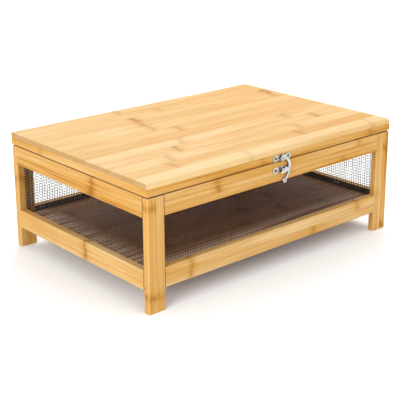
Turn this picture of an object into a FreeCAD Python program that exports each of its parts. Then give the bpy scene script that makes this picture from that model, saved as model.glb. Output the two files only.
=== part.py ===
import FreeCAD, Part
import math
import os

import Sketcher
from FreeCAD import Placement, Rotation, Vector

# A small-animal cage of bamboo: a case of four posts and eight rails with wire mesh behind the
# rails, a floor board, and a lid that turns on two hinges at the back and is held by a hook
# latch at the front. Millimetres, +Z up, the front towards -Y, origin under the middle.

DOC = FreeCAD.newDocument("cage")

# Each row is an alias, a plain number and what it measures.
SIZE_ROWS = [
    ("length", "400", "case and lid, left to right"),
    ("depth", "272", "case and lid, front to back"),
    ("height", "150", "feet to the top of the lid"),
    ("stock", "9.5", "thickness of the posts and rails"),
    ("post_width", "23.5", "posts, left to right"),
    ("rail_height", "23.5", "rails, bottom to top"),
    ("foot_height", "26.5", "clear height under the bottom rails"),
    ("post_round", "2", "round on the upright edges of the posts"),
    ("end_round", "1", "round on the ends of the posts"),
    ("rail_round", "1.2", "round on the long edges of the rails"),
    ("board_thick", "6", "lid board"),
    ("board_nose", "5", "round on the front top edge of the lid board"),
    ("board_round", "0.6", "round on the other top edges of the lid board"),
    ("batten_thick", "9", "battens under the lid board"),
    ("batten_width", "24", "battens under the lid board"),
    ("batten_round", "0.8", "round on the outer bottom edge of the battens"),
    ("lid_gap", "1.5", "shadow gap between the case and the lid"),
    ("bumper_radius", "3.5", "rubber pads that keep the gap"),
    ("floor_thick", "6", "floor board"),
    ("floor_drop", "7.5", "floor top below the top of the bottom rails"),
    ("floor_play", "0.3", "play around the floor board"),
    ("cleat_size", "8", "square strips that carry the floor"),
    ("mesh_thick", "0.5", "woven mesh, two wires thick"),
    ("mesh_play", "0.3", "play at the ends of the mesh"),
    ("mesh_lift", "0.5", "mesh foot above the floor board"),
    ("mesh_drop", "3", "mesh top below the top of the case"),
    ("flange_width", "6", "end of a side mesh that is bent along the post"),
    ("staple_width", "9", "crown of a staple"),
    ("staple_wire", "0.7", "thickness of a staple"),
    ("staple_leg", "6", "depth of a staple"),
    ("staple_pitch", "62", "largest distance between staples"),
    ("dowel_radius", "2.5", "corner joint dowels"),
    ("dowel_pitch", "9", "distance between the two dowels of a joint"),
    ("dowel_deep", "10", "dowel in the end of a rail, and in a post along its width"),
    ("dowel_shallow", "6.5", "dowel in a post through its thickness"),
    ("wood_play", "0.05", "radial play of dowels, nails and screws in the wood"),
    ("nail_radius", "0.6", "headless nails at the corners"),
    ("nail_length", "10", "headless nails at the corners"),
    ("nail_sink", "1.5", "nail below the face of the post"),
    ("nail_offset", "2.4", "nail hole from the end of the rail"),
    ("nail_height", "3.8", "nail hole above the bottom of the rail"),
    ("leaf_length", "25", "hinge leaf, left to right"),
    ("leaf_reach", "10.5", "hinge leaf, from the pin to its free edge"),
    ("leaf_thick", "0.8", "hinge leaf"),
    ("hinge_inset", "70", "middle of a hinge from the end of the case"),
    ("knuckle_radius", "2", "outside of the hinge knuckles"),
    ("knuckle_play", "0.15", "play at each end of a knuckle"),
    ("pin_radius", "0.9", "hinge pin"),
    ("pin_play", "0.05", "radial play of pins and rivets"),
    ("hinge_screw_pitch", "15", "distance between the two screws of a leaf"),
    ("hinge_screw_reach", "6.5", "hinge screws from the pin"),
    ("screw_radius", "1", "shank of the wood screws"),
    ("screw_length", "8", "wood screws under the head"),
    ("screw_head", "2.1", "radius of the screw heads"),
    ("screw_rise", "0.7", "height of the latch screw heads"),
    ("plate_thick", "0.8", "latch and catch plates"),
    ("plate_lobe", "4.1", "radius of the lobes of the plates"),
    ("plate_reach", "10.2", "lobes from the middle of the plate"),
    ("plate_waist", "5.6", "height of the plates between the lobes"),
    ("latch_lift", "4", "middle of the latch plate above the bottom of the lid"),
    ("latch_drop", "14.5", "catch stud below the latch pivot"),
    ("boss_radius", "2.6", "spacer that is pressed up from the latch plate"),
    ("boss_rise", "0.9", "spacer that is pressed up from the latch plate"),
    ("lever_thick", "1.5", "latch lever"),
    ("lever_eye", "3.7", "round end of the lever at the pivot"),
    ("arm_radius", "11.2", "bend of the lever arm"),
    ("arm_turn", "50", "degrees the lever arm bends before it reaches the hook"),
    ("arm_width", "3.8", "lever arm"),
    ("lip_start", "-5", "degrees from straight down at the tip of the hook"),
    ("lip_end", "36", "degrees from straight down where the hook meets the arm"),
    ("throat_turn", "19", "degrees from straight down at the thick part beside the stud"),
    ("lip_width", "3", "hook of the lever under the stud"),
    ("lip_play", "0.25", "play between the hook and the stud"),
    ("throat_radius", "3.2", "thick part of the lever beside the stud"),
    ("tail_width", "2.8", "lever tail"),
    ("tail_length", "14.5", "middle of the ring below the catch stud"),
    ("tail_bow", "1.3", "share of the hook's radius that the middle of the tail is at"),
    ("tail_turn", "10", "degrees from straight down at the end of the tail"),
    ("ring_turn", "7", "degrees from straight down at the middle of the ring"),
    ("ring_radius", "2", "middle of the ring at the end of the tail"),
    ("ring_wire", "1.1", "radius of the wire of the ring"),
    ("rivet_radius", "1.2", "latch pivot rivet"),
    ("rivet_head", "2.3", "head of the latch pivot rivet"),
    ("stud_radius", "1.6", "catch stud"),
    ("stud_head", "2.5", "head of the catch stud"),
    ("head_thick", "0.9", "heads of the rivet and of the stud"),
    ("stud_play", "0.2", "play between the lever and the head of the stud"),
]

# Each row is an alias, a formula on the sizes and what it measures.
PLACE_ROWS = [
    ("lid_bottom", "=Sizes.height - Sizes.board_thick - Sizes.batten_thick", "bottom of the lid"),
    ("case_top", "=lid_bottom - Sizes.lid_gap", "top of the posts and rails"),
    ("top_rail", "=case_top - Sizes.rail_height / 2", "middle of the top rails"),
    ("bottom_rail", "=Sizes.foot_height + Sizes.rail_height / 2", "middle of the bottom rails"),
    ("floor_top", "=Sizes.foot_height + Sizes.rail_height - Sizes.floor_drop", "top of the floor"),
    ("inner_x", "=Sizes.length / 2 - Sizes.stock", "inner face of the side rails"),
    ("inner_y", "=Sizes.depth / 2 - Sizes.stock", "inner face of the long rails"),
    ("post_x", "=(Sizes.length - Sizes.post_width) / 2", "middle of the posts"),
    ("post_y", "=(Sizes.depth - Sizes.stock) / 2", "middle of the posts and long rails"),
    ("side_x", "=(Sizes.length - Sizes.stock) / 2", "middle of the side rails"),
    ("long_rail", "=Sizes.length - 2 * Sizes.post_width", "length of the long rails"),
    ("side_rail", "=Sizes.depth - 2 * Sizes.stock", "length of the side rails"),
    ("mesh_foot", "=floor_top + Sizes.mesh_lift", "lower edge of the mesh"),
    ("mesh_height", "=case_top - Sizes.mesh_drop - mesh_foot", "height of the mesh"),
    ("hinge_x", "=Sizes.length / 2 - Sizes.hinge_inset", "middle of a hinge"),
    ("pin_y", "=Sizes.depth / 2 + Sizes.knuckle_radius + Sizes.pin_play", "hinge pin"),
    ("pin_z", "=lid_bottom - Sizes.lid_gap / 2", "hinge pin"),
    ("latch_z", "=lid_bottom + Sizes.latch_lift", "latch pivot"),
    ("catch_z", "=latch_z - Sizes.latch_drop", "catch stud"),
    ("plate_y", "=-Sizes.depth / 2 - Sizes.plate_thick", "front of the latch plates"),
    ("lever_y", "=plate_y - Sizes.boss_rise", "back of the lever"),
]

SUBPARTS = {}
X_AXIS = Vector(1, 0, 0)
Y_AXIS = Vector(0, 1, 0)
Z_AXIS = Vector(0, 0, 1)
TOOL_LENGTH = 30.0
SHARP = 1e-6


def add_sheet(name, rows):
    """Make a spreadsheet with an alias, a value and a note on each row."""
    sheet = DOC.addObject("Spreadsheet::Sheet", name)
    for row, (alias, text, note) in enumerate(rows, start=1):
        sheet.set(f"A{row}", alias)
        sheet.set(f"B{row}", text)
        sheet.setAlias(f"B{row}", alias)
        sheet.set(f"C{row}", note)
    DOC.recompute()
    return sheet


SIZES = add_sheet("Sizes", SIZE_ROWS)
PLACES = add_sheet("Places", PLACE_ROWS)


def size(alias):
    """Read a driving dimension."""
    return float(SIZES.get(alias))


def place(alias):
    """Read a place that the sheet works out."""
    return float(PLACES.get(alias))


def keep(label, feature):
    """Name a finished sub-part."""
    feature.Label = label
    SUBPARTS[label] = feature
    return feature


def put(feature, at):
    """Tie the three coordinates of a feature's placement to expressions."""
    for letter, expression in zip("xyz", at):
        feature.setExpression(f"Placement.Base.{letter}", str(expression))


# --- sketched bodies ---------------------------------------------------------------------------


def origin_plane(body, role):
    """Find one of a body's own origin planes."""
    for feature in body.Origin.OriginFeatures:
        if feature.Role == role:
            return feature
    raise RuntimeError(f"{body.Name} has no {role}")


def new_sketch(body):
    """Start a sketch on the body's XY plane."""
    sketch = body.newObject("Sketcher::SketchObject", f"{body.Name}_outline")
    sketch.AttachmentSupport = [(origin_plane(body, "XY_Plane"), "")]
    sketch.MapMode = "FlatFace"
    return sketch


def drive(sketch, name, constraint, expression):
    """Add a named dimension to a sketch and tie it to an expression."""
    index = sketch.addConstraint(constraint)
    sketch.renameConstraint(index, name)
    sketch.setExpression(f"Constraints.{name}", expression)


def draw_loop(sketch, corners):
    """Draw a closed four-sided outline whose first and third sides are level."""
    for start, end in zip(corners, corners[1:] + corners[:1]):
        sketch.addGeometry(Part.LineSegment(start, end), False)
    for line in range(4):
        sketch.addConstraint(Sketcher.Constraint("Coincident", line, 2, (line + 1) % 4, 1))
    sketch.addConstraint(Sketcher.Constraint("Horizontal", 0))
    sketch.addConstraint(Sketcher.Constraint("Horizontal", 2))


def draw_rectangle(sketch, width, height):
    """Draw a rectangle around the sketch's origin."""
    draw_loop(sketch, [Vector(-1, -1), Vector(1, -1), Vector(1, 1), Vector(-1, 1)])
    sketch.addConstraint(Sketcher.Constraint("Vertical", 1))
    sketch.addConstraint(Sketcher.Constraint("Vertical", 3))
    sketch.addConstraint(Sketcher.Constraint("Symmetric", 0, 1, 2, 1, -1, 1))
    drive(sketch, "width", Sketcher.Constraint("DistanceX", 0, 1, 0, 2, 2.0), width)
    drive(sketch, "height", Sketcher.Constraint("DistanceY", 1, 1, 1, 2, 2.0), height)


def draw_mitred(sketch, length, width):
    """Draw a strip with both ends mitred, its long side along the sketch's X axis."""
    draw_loop(sketch, [Vector(-3, 0), Vector(3, 0), Vector(2, 1), Vector(-2, 1)])
    sketch.addConstraint(Sketcher.Constraint("Symmetric", 0, 1, 0, 2, -1, 1))
    sketch.addConstraint(Sketcher.Constraint("Equal", 1, 3))
    drive(sketch, "long_side", Sketcher.Constraint("DistanceX", 0, 1, 0, 2, 6.0), length)
    short_side = Sketcher.Constraint("DistanceX", 2, 2, 2, 1, 4.0)
    drive(sketch, "short_side", short_side, f"{length} - 2 * {width}")
    drive(sketch, "width", Sketcher.Constraint("DistanceY", 1, 1, 1, 2, 1.0), width)


def pad(body, sketch, height):
    """Pad a sketch equally to both sides of its plane."""
    feature = body.newObject("PartDesign::Pad", f"{body.Name}_pad")
    feature.Profile = sketch
    feature.Midplane = True
    feature.setExpression("Length", height)
    sketch.Visibility = False
    DOC.recompute()
    return feature


def edge_names(shape, test):
    """List the names of the edges whose middle and direction pass a test."""
    names = []
    for number, edge in enumerate(shape.Edges, start=1):
        middle = edge.valueAt((edge.FirstParameter + edge.LastParameter) / 2)
        direction = edge.lastVertex().Point - edge.firstVertex().Point
        if direction.Length > SHARP and test(middle, direction.normalize()):
            names.append(f"Edge{number}")
    return names


def round_edges(body, radius, test):
    """Round the edges of a body that pass a test."""
    base = body.Tip
    feature = body.newObject("PartDesign::Fillet", f"{body.Name}_round")
    feature.Base = (base, edge_names(base.Shape, test))
    feature.setExpression("Radius", radius)
    DOC.recompute()
    return feature


def along(axis):
    """Make a test for the edges that run along an axis."""
    return lambda middle, direction: abs(direction.dot(axis)) > 1 - SHARP


def block(name, sides, at, rounds=()):
    """Make a body from a rectangle, round it, and put its middle at a place."""
    body = DOC.addObject("PartDesign::Body", f"{name}_body")
    sketch = new_sketch(body)
    draw_rectangle(sketch, sides[0], sides[1])
    pad(body, sketch, sides[2])
    for radius, test in rounds:
        round_edges(body, radius, test)
    put(body, at)
    return body


# --- primitives and booleans -------------------------------------------------------------------


def box(name, sides, at):
    """Make a box whose low corner is at a place."""
    feature = DOC.addObject("Part::Box", name)
    for side, expression in zip(("Length", "Width", "Height"), sides):
        feature.setExpression(side, str(expression))
    put(feature, at)
    return feature


def turn_to(feature, axis):
    """Turn a feature that is made along Z so that it runs along an axis."""
    feature.Placement = Placement(Vector(), Rotation(Z_AXIS, axis))


def rod(name, radius, length, at, axis):
    """Make a cylinder that starts at a place and runs along an axis."""
    feature = DOC.addObject("Part::Cylinder", name)
    feature.setExpression("Radius", str(radius))
    feature.setExpression("Height", str(length))
    turn_to(feature, axis)
    put(feature, at)
    return feature


def taper(name, radius, end_radius, length, at, axis):
    """Make a cone that starts at a place and runs along an axis."""
    feature = DOC.addObject("Part::Cone", name)
    feature.setExpression("Radius1", str(radius))
    feature.setExpression("Radius2", str(end_radius))
    feature.setExpression("Height", str(length))
    turn_to(feature, axis)
    put(feature, at)
    return feature


def fuse(name, shapes):
    """Join features into one solid."""
    feature = DOC.addObject("Part::MultiFuse", name)
    feature.Shapes = shapes
    feature.Refine = True
    return feature


def cut(name, base, tool):
    """Cut one feature out of another."""
    feature = DOC.addObject("Part::Cut", name)
    feature.Base = base
    feature.Tool = tool
    return feature


def copies(name, pattern, spots):
    """Gather copies of a feature, one at each placement, as separate solids."""
    DOC.recompute()
    solids = []
    for spot in spots:
        solid = pattern.Shape.copy()
        solid.Placement = spot.multiply(solid.Placement)
        solids.append(solid)
    feature = DOC.addObject("Part::Feature", name)
    feature.Shape = Part.makeCompound(solids)
    feature.Placement = Placement()
    return feature


def spots_along(axis, points):
    """Turn points into placements for a pattern that is made along Z."""
    return [Placement(Vector(*point), Rotation(Z_AXIS, axis)) for point in points]


# --- fasteners and their holes -----------------------------------------------------------------


def screw(name, countersunk, play):
    """Make a wood screw along Z, with the seat of its head at the origin and its point at -Z."""
    rise = "0 - Sizes.leaf_thick" if countersunk else "0"
    head_low = "Sizes.screw_radius" if countersunk else "Sizes.screw_head"
    head_high = "Sizes.screw_head" if countersunk else "Sizes.screw_radius"
    head_rise = "Sizes.leaf_thick" if countersunk else "Sizes.screw_rise"
    head = taper(f"{name}_head", f"{head_low} + {play}", f"{head_high} + {play}", head_rise,
                 (0, 0, rise), Z_AXIS)
    length = "Sizes.screw_length" if countersunk else "(Sizes.screw_length + Sizes.plate_thick)"
    shank = rod(f"{name}_shank", f"Sizes.screw_radius + {play}", length, (0, 0, f"0 - {length}"), Z_AXIS)
    return fuse(name, [head, shank])


def hinge_points(side):
    """List the screw places of both hinges, above (side 1) or below (side -1) the pin."""
    half = size("hinge_screw_pitch") / 2
    height = place("pin_z") + side * size("hinge_screw_reach")
    face = size("depth") / 2 + size("leaf_thick")
    return [(end * place("hinge_x") + step, face, height) for end in (-1, 1) for step in (-half, half)]


def plate_points(height):
    """List the two screw places of a latch plate."""
    return [(side * size("plate_reach"), place("plate_y"), height) for side in (-1, 1)]


def dowel_rows():
    """List the middle, direction and place in the wood of each corner joint's dowels."""
    half = size("dowel_pitch") / 2
    start_x = size("length") / 2 - size("post_width") - size("dowel_deep")
    start_y = size("depth") / 2 - size("stock") - size("dowel_deep")
    rows = {"long": [], "side": []}
    for end in (-1, 1):
        for front in (-1, 1):
            for rail in ("top_rail", "bottom_rail"):
                for step in (-half, half):
                    height = place(rail) + step
                    rows["long"].append((end * start_x, front * place("post_y"), height, end))
                    rows["side"].append((end * place("side_x"), front * start_y, height, front))
    return rows


def make_dowels():
    """Make the dowels of the long and side rails, and the holes that they sit in."""
    rows = dowel_rows()
    kinds = (
        ("long", X_AXIS, "2 * Sizes.dowel_deep", "long_rail_dowels"),
        ("side", Y_AXIS, "Sizes.dowel_deep + Sizes.dowel_shallow", "side_rail_dowels"),
    )
    holes = []
    for kind, axis, length, label in kinds:
        spots = [spots_along(axis * way, [(x, y, z)])[0] for x, y, z, way in rows[kind]]
        pattern = rod(f"{kind}_dowel", "Sizes.dowel_radius", length, (0, 0, 0), Z_AXIS)
        bore_radius = "Sizes.dowel_radius + Sizes.wood_play"
        bore = rod(f"{kind}_dowel_bore", bore_radius, length, (0, 0, 0), Z_AXIS)
        keep(label, copies(f"{label}_group", pattern, spots))
        holes += copies(f"{kind}_dowel_bores", bore, spots).Shape.Solids
    return holes


def make_nails():
    """Make the headless nails, driven askew from each post into the end of a side rail."""
    height = size("foot_height") + size("nail_height")
    start_y = place("inner_y") + size("nail_offset")
    spots = []
    for end in (-1, 1):
        for front in (-1, 1):
            inwards = Vector(-end, -front, 0)
            mouth = (end * size("length") / 2, front * start_y, height)
            spots += spots_along(inwards, [mouth])
    pattern = rod("corner_nail", "Sizes.nail_radius", "Sizes.nail_length",
                  (0, 0, "Sizes.nail_sink"), Z_AXIS)
    bore_length = "Sizes.nail_length + 2 * Sizes.nail_sink"
    bore = rod("corner_nail_bore", "Sizes.nail_radius + Sizes.wood_play", bore_length,
               (0, 0, "0 - Sizes.nail_sink"), Z_AXIS)
    keep("corner_nails", copies("corner_nails_group", pattern, spots))
    return copies("corner_nail_bores", bore, spots).Shape.Solids


def make_screws():
    """Make the wood screws of the hinges and the latch, and the holes that they sit in."""
    flush = screw("flush_screw", True, "0")
    flush_bore = screw("flush_screw_bore", True, "Sizes.wood_play")
    raised = screw("raised_screw", False, "0")
    raised_bore = screw("raised_screw_bore", False, "Sizes.wood_play")
    groups = (
        ("hinge_case_screws", flush, flush_bore, Y_AXIS, hinge_points(-1)),
        ("hinge_lid_screws", flush, flush_bore, Y_AXIS, hinge_points(1)),
        ("catch_plate_screws", raised, raised_bore, Y_AXIS * -1, plate_points(place("catch_z"))),
        ("latch_plate_screws", raised, raised_bore, Y_AXIS * -1, plate_points(place("latch_z"))),
    )
    bores = {}
    for label, pattern, bore, axis, points in groups:
        spots = spots_along(axis, points)
        keep(label, copies(f"{label}_group", pattern, spots))
        bores[label] = copies(f"{label}_bores", bore, spots)
    return bores


# --- the case ----------------------------------------------------------------------------------


def make_case_wood(bores):
    """Make the posts, the rails, the floor board and its cleats, with the holes of the joints."""
    uprights = along(Z_AXIS)

    def ends(middle, direction):
        return abs(direction.z) < SHARP and abs(abs(middle.z) - place("case_top") / 2) < SHARP

    for back, front_word in ((-1, "front"), (1, "back")):
        for right, side_word in ((-1, "left"), (1, "right")):
            label = f"post_{front_word}_{side_word}"
            sides = ("Sizes.post_width", "Sizes.stock", "Places.case_top")
            at = (f"{right} * Places.post_x", f"{back} * Places.post_y", "Places.case_top / 2")
            rounds = (("Sizes.post_round", uprights), ("Sizes.end_round", ends))
            keep(label, cut(f"{label}_cut", block(label, sides, at, rounds), bores))
    for level in ("top", "bottom"):
        height = f"Places.{level}_rail"
        for sign, word in ((-1, "front"), (1, "back")):
            label = f"{word}_{level}_rail"
            sides = ("Places.long_rail", "Sizes.stock", "Sizes.rail_height")
            at = ("0", f"{sign} * Places.post_y", height)
            rail = block(label, sides, at, (("Sizes.rail_round", along(X_AXIS)),))
            keep(label, cut(f"{label}_cut", rail, bores))
        for sign, word in ((-1, "left"), (1, "right")):
            label = f"{word}_{level}_rail"
            sides = ("Sizes.stock", "Places.side_rail", "Sizes.rail_height")
            at = (f"{sign} * Places.side_x", "0", height)
            rail = block(label, sides, at, (("Sizes.rail_round", along(Y_AXIS)),))
            keep(label, cut(f"{label}_cut", rail, bores))


def make_floor():
    """Make the floor board and the two strips that carry it."""
    sides = ("2 * (Places.inner_x - Sizes.floor_play)", "2 * (Places.inner_y - Sizes.floor_play)",
             "Sizes.floor_thick")
    at = ("0", "0", "Places.floor_top - Sizes.floor_thick / 2")
    keep("floor_panel", block("floor_panel", sides, at))
    for sign, word in ((-1, "front"), (1, "back")):
        label = f"{word}_floor_cleat"
        sides = ("2 * (Places.inner_x - Sizes.floor_play)", "Sizes.cleat_size", "Sizes.cleat_size")
        at = ("0", f"{sign} * (Places.inner_y - Sizes.cleat_size / 2)",
              "Places.floor_top - Sizes.floor_thick - Sizes.cleat_size / 2")
        keep(label, block(label, sides, at))


def make_meshes():
    """Make the four mesh panels; the side panels have their ends bent along the posts."""
    width = "Places.inner_x - Sizes.mesh_thick - Sizes.mesh_play"
    for sign, word in ((-1, "front"), (1, "back")):
        label = f"{word}_mesh"
        sides = (f"2 * ({width})", "Sizes.mesh_thick", "Places.mesh_height")
        at = ("0", f"{sign} * (Places.inner_y - Sizes.mesh_thick / 2)",
              "Places.mesh_foot + Places.mesh_height / 2")
        keep(label, block(label, sides, at))
    reach = "(Places.inner_y - Sizes.mesh_thick)"
    for sign, word in ((-1, "left"), (1, "right")):
        label = f"{word}_mesh"
        face_x = "0 - Places.inner_x" if sign < 0 else "Places.inner_x - Sizes.mesh_thick"
        flange_x = "0 - Places.inner_x" if sign < 0 else "Places.inner_x - Sizes.flange_width"
        height = "Places.mesh_height"
        foot = "Places.mesh_foot"
        sides = ("Sizes.mesh_thick", f"2 * {reach}", height)
        flange = ("Sizes.flange_width", "Sizes.mesh_thick", height)
        pieces = [box(f"{label}_face", sides, (face_x, f"0 - {reach}", foot))]
        for end, start in ((-1, f"0 - {reach}"), (1, f"{reach} - Sizes.mesh_thick")):
            name = f"{label}_flange_{'front' if end < 0 else 'back'}"
            pieces.append(box(name, flange, (flange_x, start, foot)))
        keep(label, fuse(f"{label}_sheet", pieces))


def evenly(low, high, pitch):
    """Spread places evenly between two ends, no further apart than the pitch."""
    count = math.ceil((high - low) / pitch)
    return [low + (high - low) * step / count for step in range(count + 1)]


def staple_pattern():
    """Make one staple with its crown along X on the plane Z = 0 and its legs towards -Z."""
    wire = "Sizes.staple_wire"
    half = "Sizes.staple_width / 2"
    crown = ("Sizes.staple_width", wire, wire)
    pieces = [box("staple_crown", crown, (f"0 - {half}", f"0 - {wire} / 2", 0))]
    for side, start in (("left", f"0 - {half}"), ("right", f"{half} - {wire}")):
        leg = ("Sizes.staple_wire", wire, "Sizes.staple_leg")
        pieces.append(box(f"staple_leg_{side}", leg, (start, f"0 - {wire} / 2", "0 - Sizes.staple_leg")))
    return fuse("staple", pieces)


def make_staples():
    """Make the staples that hold the mesh to the rails and posts from the inside."""
    rows = (place("mesh_foot") + size("floor_drop") / 2, place("top_rail"))
    margin = size("post_width") + size("staple_width")
    long_run = evenly(margin - size("length") / 2, size("length") / 2 - margin, size("staple_pitch"))
    side_end = place("inner_y") - size("staple_width")
    side_run = evenly(-side_end, side_end, size("staple_pitch"))
    bar_low = size("foot_height") + size("rail_height") + size("staple_width")
    bar_high = place("case_top") - size("rail_height") - size("staple_width")
    post_middle = size("length") / 2 - size("stock") - size("flange_width") / 2
    spots = []
    for back in (-1, 1):
        inwards = Rotation(X_AXIS, 90 * back)
        face = back * (place("inner_y") - size("mesh_thick"))
        for height in rows:
            spots += [Placement(Vector(x, face, height), inwards) for x in long_run]
        upright = inwards.multiply(Rotation(Z_AXIS, 90))
        flange_face = face - back * size("mesh_thick")
        for right in (-1, 1):
            for height in evenly(bar_low, bar_high, size("staple_pitch")):
                spots.append(Placement(Vector(right * post_middle, flange_face, height), upright))
    for right in (-1, 1):
        inwards = Rotation(Y_AXIS, -90 * right).multiply(Rotation(Z_AXIS, 90))
        face = right * (place("inner_x") - size("mesh_thick"))
        for height in rows:
            spots += [Placement(Vector(face, y, height), inwards) for y in side_run]
    keep("mesh_staples", copies("mesh_staples_group", staple_pattern(), spots))


def make_bumpers():
    """Make the rubber pads on the posts that keep the lid off the case."""
    pattern = rod("bumper", "Sizes.bumper_radius", "Sizes.lid_gap", (0, 0, 0), Z_AXIS)
    corners = [(x, y) for x in (-1, 1) for y in (-1, 1)]
    points = [(x * place("post_x"), y * place("post_y"), place("case_top")) for x, y in corners]
    keep("lid_bumpers", copies("lid_bumpers_group", pattern, spots_along(Z_AXIS, points)))


# --- the lid -----------------------------------------------------------------------------------


def make_lid(bores):
    """Make the lid board and the mitred battens under it."""
    half = size("board_thick") / 2

    def nose(middle, direction):
        return middle.z > half - SHARP and middle.y < 0 and abs(direction.x) > 1 - SHARP

    def other_tops(middle, direction):
        at_back = middle.y > size("depth") / 2 - SHARP
        at_end = abs(middle.x) > size("length") / 2 - SHARP and abs(direction.y) > 1 - SHARP
        return middle.z > half - SHARP and (at_back or at_end)

    sides = ("Sizes.length", "Sizes.depth", "Sizes.board_thick")
    at = ("0", "0", "Sizes.height - Sizes.board_thick / 2")
    rounds = (("Sizes.board_nose", nose), ("Sizes.board_round", other_tops))
    keep("lid_board", cut("lid_board_cut", block("lid_board", sides, at, rounds), bores))

    def outer_bottom(middle, direction):
        return middle.y < SHARP and middle.z < -SHARP

    runs = (
        ("lid_front_batten", "Sizes.length", 0, ("0", "0 - Sizes.depth / 2")),
        ("lid_right_batten", "Sizes.depth", 90, ("Sizes.length / 2", "0")),
        ("lid_back_batten", "Sizes.length", 180, ("0", "Sizes.depth / 2")),
        ("lid_left_batten", "Sizes.depth", 270, ("0 - Sizes.length / 2", "0")),
    )
    for label, length, angle, (x, y) in runs:
        body = DOC.addObject("PartDesign::Body", f"{label}_body")
        sketch = new_sketch(body)
        draw_mitred(sketch, length, "Sizes.batten_width")
        pad(body, sketch, "Sizes.batten_thick")
        round_edges(body, "Sizes.batten_round", outer_bottom)
        body.Placement = Placement(Vector(), Rotation(Z_AXIS, angle))
        put(body, (x, y, "Places.lid_bottom + Sizes.batten_thick / 2"))
        keep(label, cut(f"{label}_cut", body, bores))


# --- the hinges --------------------------------------------------------------------------------

KNUCKLES = 5


def hinge_leaf(label, right, up, bores):
    """Make a hinge leaf: its plate, its share of the knuckles, the bore and the screw holes."""
    left_end = f"({right} * Places.hinge_x - Sizes.leaf_length / 2)"
    knuckle = f"(Sizes.leaf_length / {KNUCKLES})"
    clear = "(Sizes.knuckle_radius + 2 * Sizes.knuckle_play)"
    plate_height = f"Sizes.leaf_reach - {clear}"
    plate_foot = f"Places.pin_z + {clear}" if up > 0 else "Places.pin_z - Sizes.leaf_reach"
    web_foot = "Places.pin_z" if up > 0 else f"Places.pin_z - {clear}"
    back = "Sizes.depth / 2"
    pieces = [box(f"{label}_plate", ("Sizes.leaf_length", "Sizes.leaf_thick", plate_height),
                  (left_end, back, plate_foot))]
    first = 0 if up > 0 else 1
    for number in range(first, KNUCKLES, 2):
        start = f"{left_end} + {number} * {knuckle} + Sizes.knuckle_play"
        width = f"{knuckle} - 2 * Sizes.knuckle_play"
        web = (width, "Sizes.leaf_thick", clear)
        pieces.append(box(f"{label}_web_{number}", web, (start, back, web_foot)))
        pieces.append(rod(f"{label}_knuckle_{number}", "Sizes.knuckle_radius", width,
                          (start, "Places.pin_y", "Places.pin_z"), X_AXIS))
    leaf = fuse(f"{label}_blank", pieces)
    pin_bore = rod(f"{label}_bore", "Sizes.pin_radius + Sizes.pin_play", "Sizes.leaf_length",
                   (left_end, "Places.pin_y", "Places.pin_z"), X_AXIS)
    keep(label, cut(f"{label}_leaf", cut(f"{label}_bored", leaf, pin_bore), bores))


def make_hinges(bores):
    """Make the two hinges at the back."""
    for right, word in ((-1, "left"), (1, "right")):
        hinge_leaf(f"{word}_hinge_case_leaf", right, -1, bores["hinge_case_screws"])
        hinge_leaf(f"{word}_hinge_lid_leaf", right, 1, bores["hinge_lid_screws"])
    pattern = rod("hinge_pin", "Sizes.pin_radius", "Sizes.leaf_length",
                  (0, 0, "0 - Sizes.leaf_length / 2"), Z_AXIS)
    points = [(x * place("hinge_x"), place("pin_y"), place("pin_z")) for x in (-1, 1)]
    keep("hinge_pins", copies("hinge_pins_group", pattern, spots_along(X_AXIS, points)))


# --- the latch ---------------------------------------------------------------------------------


def lobed_plate(name, height):
    """Make a latch plate with a round lobe at each end, flat on the front of the cage."""
    front = "Places.plate_y"
    back = "0 - Sizes.depth / 2"
    waist = ("2 * Sizes.plate_reach", "Sizes.plate_thick", "Sizes.plate_waist")
    foot = f"{height} - Sizes.plate_waist / 2"
    pieces = [box(f"{name}_waist", waist, ("0 - Sizes.plate_reach", front, foot))]
    for word, x in (("left", "0 - Sizes.plate_reach"), ("middle", "0"), ("right", "Sizes.plate_reach")):
        pieces.append(rod(f"{name}_{word}_lobe", "Sizes.plate_lobe", "Sizes.plate_thick",
                          (x, back, height), Y_AXIS * -1))
    return pieces


def make_plates(bores):
    """Make the latch plate with its spacer, and the catch plate, with their holes."""
    face = "0 - Sizes.depth / 2"
    forward = Y_AXIS * -1
    pieces = lobed_plate("latch_plate", "Places.latch_z")
    pieces.append(rod("latch_plate_boss", "Sizes.boss_radius", "Sizes.plate_thick + Sizes.boss_rise",
                      (0, face, "Places.latch_z"), forward))
    rivet_bore = rod("latch_plate_bore", "Sizes.rivet_radius + Sizes.pin_play", TOOL_LENGTH,
                     (0, face, "Places.latch_z"), forward)
    bored = cut("latch_plate_bored", fuse("latch_plate_blank", pieces), rivet_bore)
    keep("latch_plate", cut("latch_plate_cut", bored, bores["latch_plate_screws"]))
    stud_bore = rod("catch_plate_bore", "Sizes.stud_radius + Sizes.pin_play", TOOL_LENGTH,
                    (0, face, "Places.catch_z"), forward)
    blank = fuse("catch_plate_blank", lobed_plate("catch_plate", "Places.catch_z"))
    bored = cut("catch_plate_bored", blank, stud_bore)
    keep("catch_plate", cut("catch_plate_cut", bored, bores["catch_plate_screws"]))


def headed_pin(label, radius, head, length, height):
    """Make a rivet or stud that starts at the front of the wood and ends in a tapered head."""
    forward = Y_AXIS * -1
    face = "0 - Sizes.depth / 2"
    shank = rod(f"{label}_shank", radius, length, (0, face, height), forward)
    top = taper(f"{label}_head", head, radius, "Sizes.head_thick", (0, f"{face} - ({length})", height),
                forward)
    keep(label, fuse(f"{label}_turned", [shank, top]))


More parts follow.
